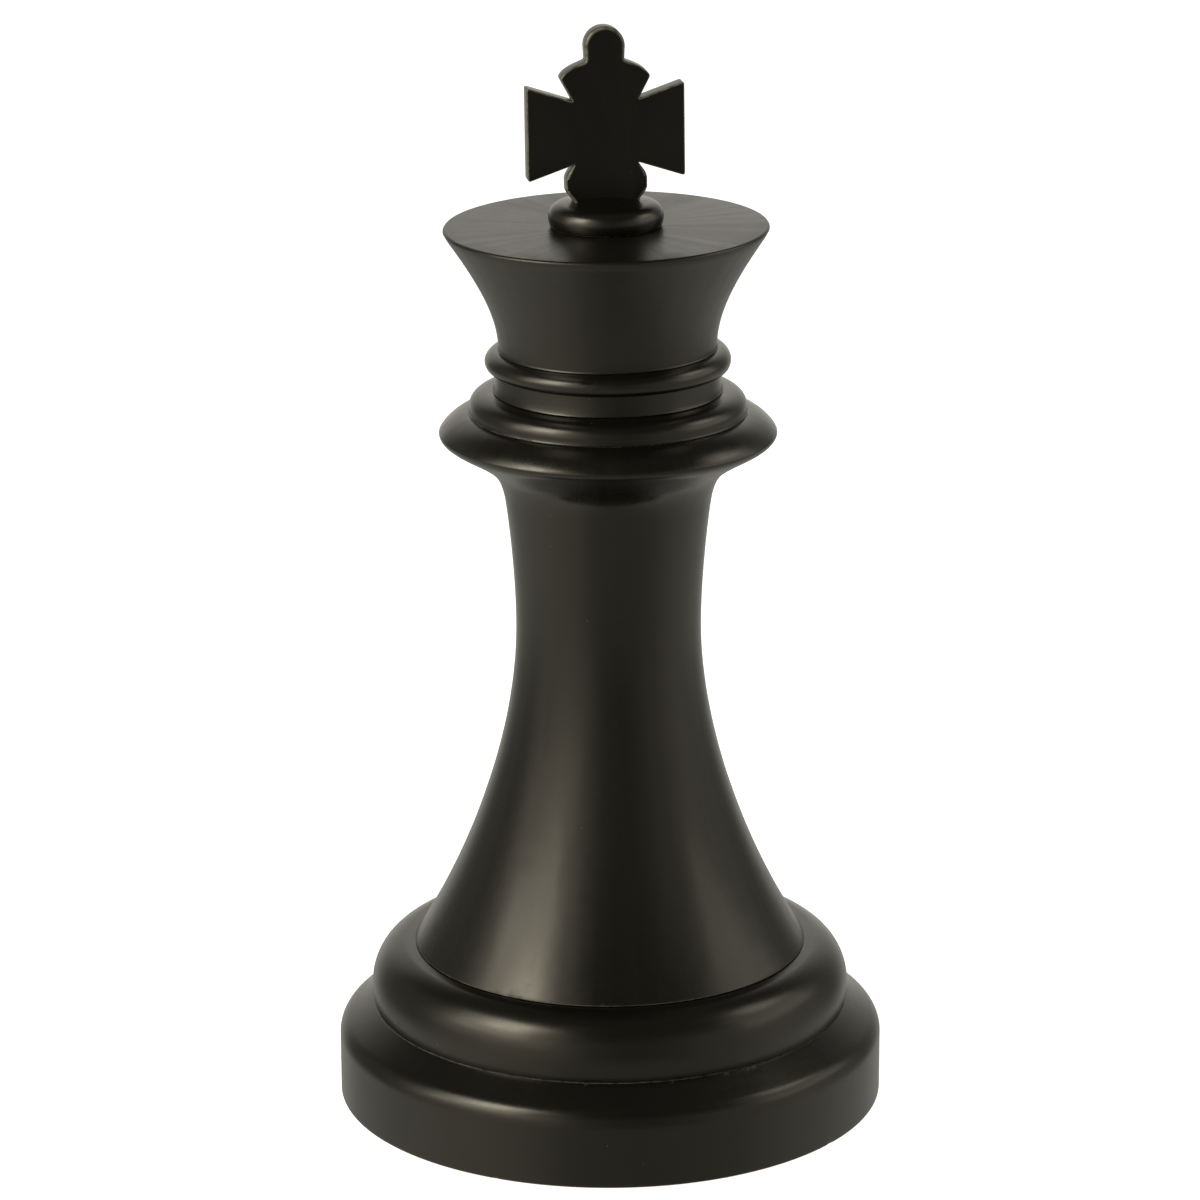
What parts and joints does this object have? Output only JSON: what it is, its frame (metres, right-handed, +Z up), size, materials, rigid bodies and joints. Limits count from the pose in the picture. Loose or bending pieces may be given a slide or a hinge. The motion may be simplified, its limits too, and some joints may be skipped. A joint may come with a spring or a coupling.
{
  "type": "giant chess piece",
  "caption": "Satin black giant lawn chess king: stacked moulded sections on a tie rod, weighted plinth and a screw-off cross finial.",
  "frame": {"origin": "on the ground, on the king's vertical axis, under the rubber pad", "axes": "+Z up along the king's axis; the broad face of the cross looks along -Y and its arms point along +X and -X"},
  "size_m": [0.32, 0.32, 0.638],
  "materials": {
    "black_lacquer": "satin",
    "zinc_steel": "satin",
    "brass": "satin",
    "rubber": "matte",
    "plywood": "matte",
    "beech": "matte",
    "sand": "matte",
    "black_moulding": "matte"
  },
  "bodies": {
    "body": {"plinth_shell": "black_lacquer", "base_ring": "black_lacquer", "stem_shell": "black_lacquer", "upper_collar": "black_lacquer", "neck_ring": "black_lacquer", "crown_shell": "black_lacquer", "tie_rod": "zinc_steel", "upper_rod_washer": "zinc_steel", "upper_rod_nut": "zinc_steel", "lower_rod_plate": "zinc_steel", "lower_rod_nut": "zinc_steel", "base_screw_1": "zinc_steel", "base_screw_2": "zinc_steel", "base_screw_3": "zinc_steel", "base_screw_4": "zinc_steel", "base_screw_5": "zinc_steel", "base_screw_6": "zinc_steel", "base_screw_7": "zinc_steel", "base_screw_8": "zinc_steel", "ground_pad": "rubber", "base_board": "plywood", "fixing_ring": "plywood", "ballast_lid": "plywood", "stem_lower_disc": "plywood", "stem_upper_disc": "plywood", "plinth_peg_1": "beech", "plinth_peg_2": "beech", "stem_peg_1": "beech", "stem_peg_2": "beech", "sand_ballast": "sand", "filler_bush": "black_moulding"},
    "finial_carrier": {"finial_seal": "rubber"},
    "finial": {"finial_button": "black_lacquer", "finial_cross": "black_lacquer", "finial_insert": "brass", "cross_dowel_1": "zinc_steel", "cross_dowel_2": "zinc_steel"},
    "plug_carrier": {"plug_seal": "rubber"},
    "plug": {"filler_plug": "black_moulding"}
  },
  "joints": [
    {"name": "finial_rise", "type": "slide", "parent": "body", "child": "finial_carrier", "axis": [0, 0, 1], "range_m": [0, 0.01055]},
    {"name": "finial_turn", "type": "hinge", "parent": "finial_carrier", "child": "finial", "pos_m": [0, 0, 0.5232], "axis": [0, 0, 1], "range_deg": [0, 2520]},
    {"name": "plug_drop", "type": "slide", "parent": "body", "child": "plug_carrier", "axis": [0, 0, -1], "range_m": [0, 0.01005]},
    {"name": "plug_turn", "type": "hinge", "parent": "plug_carrier", "child": "plug", "pos_m": [0, -0.084, 0.002], "axis": [0, 0, -1], "range_deg": [0, 1440]}
  ],
  "couplings": [
    {"joint": "finial_rise", "follows": "finial_turn", "m_per_rad": 0.00023873},
    {"joint": "plug_drop", "follows": "plug_turn", "m_per_rad": 0.00039789}
  ]
}
